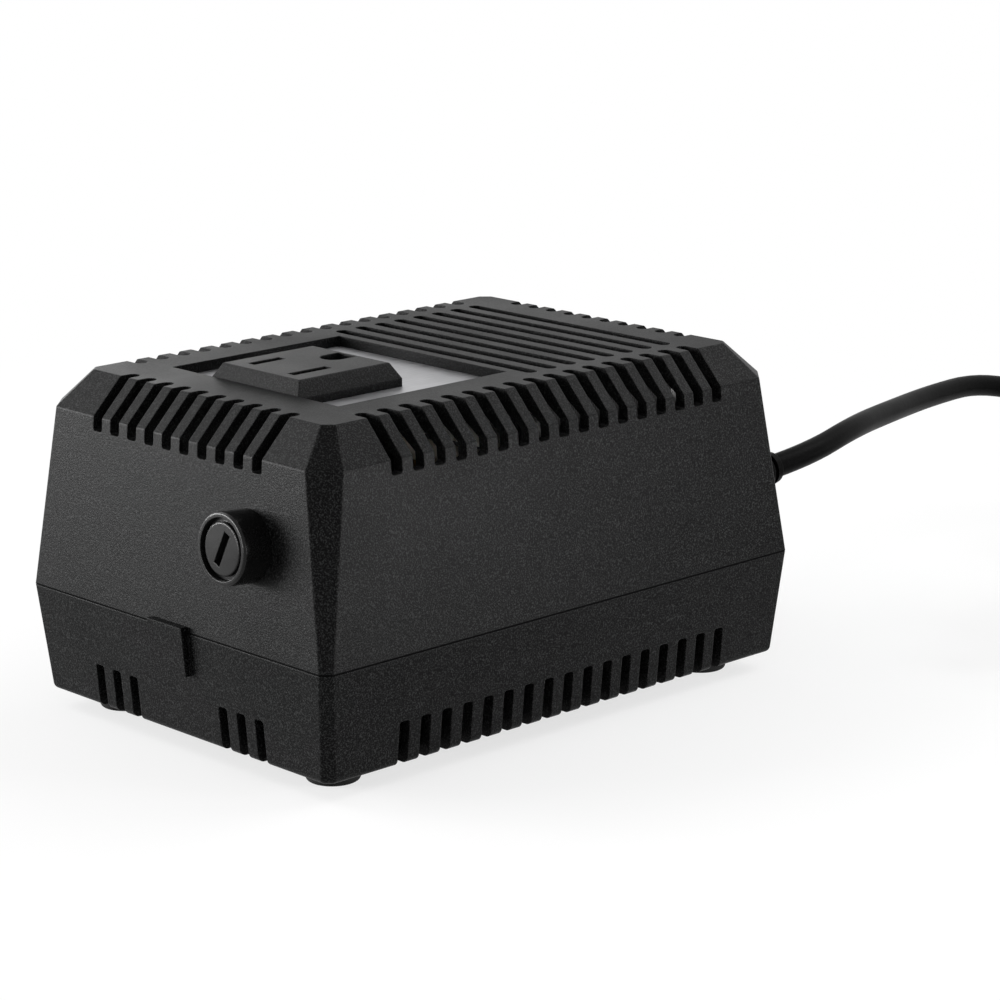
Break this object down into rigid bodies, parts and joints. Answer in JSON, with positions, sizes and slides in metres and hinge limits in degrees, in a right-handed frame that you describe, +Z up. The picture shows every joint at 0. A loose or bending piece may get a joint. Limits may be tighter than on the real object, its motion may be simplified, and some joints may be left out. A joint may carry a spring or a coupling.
{
  "type": "voltage converter",
  "caption": "Desktop travel voltage converter: vented plastic case with a recessed outlet on top, a screwdriver fuse holder at one end, a transformer inside and a mains cord with a flat plug.",
  "frame": {"origin": "on the surface it stands on, midway between the four feet", "axes": "+Z up, -Y towards the end with the fuse holder, +Y towards the end with the cord"},
  "size_m": [0.1611, 0.2907, 0.0709],
  "materials": {
    "shell_plastic": "fine grained black",
    "foot_rubber": "matt black",
    "plate_metal": "satin grey",
    "outlet_plastic": "smooth black",
    "contact_brass": "bare",
    "screw_steel": "zinc plated",
    "holder_plastic": "glossy black",
    "terminal_metal": "tin plated",
    "fuse_glass": "clear",
    "fuse_cap_metal": "nickel plated",
    "fuse_wire_metal": "plain",
    "spring_steel": "plain",
    "core_steel": "varnished sheets",
    "bobbin_plastic": "natural nylon",
    "winding_copper": "enamelled wire",
    "barrier_film": "clear yellow film",
    "winding_tape": "yellow tape",
    "cutout_plastic": "white",
    "line_lead": "brown sleeve",
    "neutral_lead": "blue sleeve",
    "cord_sheath": "matt black",
    "plug_plastic": "matt black",
    "pin_metal": "nickel plated"
  },
  "bodies": {
    "case": {"upper_shell": "shell_plastic", "lower_shell": "shell_plastic", "label_plate": "plate_metal", "rubber_feet": "foot_rubber", "case_screws": "screw_steel", "outlet_body": "outlet_plastic", "outlet_screws": "screw_steel", "outlet_rear_cover": "outlet_plastic", "line_contact": "contact_brass", "neutral_contact": "contact_brass", "ground_contact": "contact_brass", "fuse_holder_body": "holder_plastic", "fuse_holder_washer": "foot_rubber", "fuse_holder_nut": "holder_plastic", "fuse_side_terminal": "terminal_metal", "fuse_rear_terminal": "terminal_metal", "core_e_stack": "core_steel", "core_i_stack": "core_steel", "core_brackets": "screw_steel", "core_straps": "screw_steel", "core_bolts": "screw_steel", "core_nuts": "screw_steel", "bracket_screws": "screw_steel", "bracket_nuts": "screw_steel", "bobbin": "bobbin_plastic", "primary_winding": "winding_copper", "winding_barrier": "barrier_film", "secondary_winding": "winding_copper", "winding_tape": "winding_tape", "thermal_cutout": "cutout_plastic", "outlet_line_lead": "line_lead", "outlet_neutral_lead": "neutral_lead", "fused_lead": "line_lead", "cord_line_lead": "line_lead", "cord_neutral_lead": "neutral_lead", "strain_relief": "cord_sheath", "cord_run": "cord_sheath", "cord_coil": "cord_sheath", "cord_tail": "cord_sheath", "plug_body": "plug_plastic", "plug_pins": "pin_metal", "pin_sleeves": "plug_plastic"},
    "fuse": {"fuse_glass_tube": "fuse_glass", "fuse_end_caps": "fuse_cap_metal", "fuse_wire": "fuse_wire_metal"},
    "fuse_cap": {"fuse_cap": "holder_plastic", "fuse_spring": "spring_steel"}
  },
  "joints": [
    {"name": "fuse_draw", "type": "slide", "parent": "case", "child": "fuse", "axis": [0, -0.9974, 0.0715], "range_m": [0, 0.03]},
    {"name": "fuse_cap_turn", "type": "hinge", "parent": "fuse", "child": "fuse_cap", "pos_m": [0.0219, -0.06103, 0.0451], "axis": [0, -0.9974, 0.0715], "range_deg": [0, 60]}
  ]
}
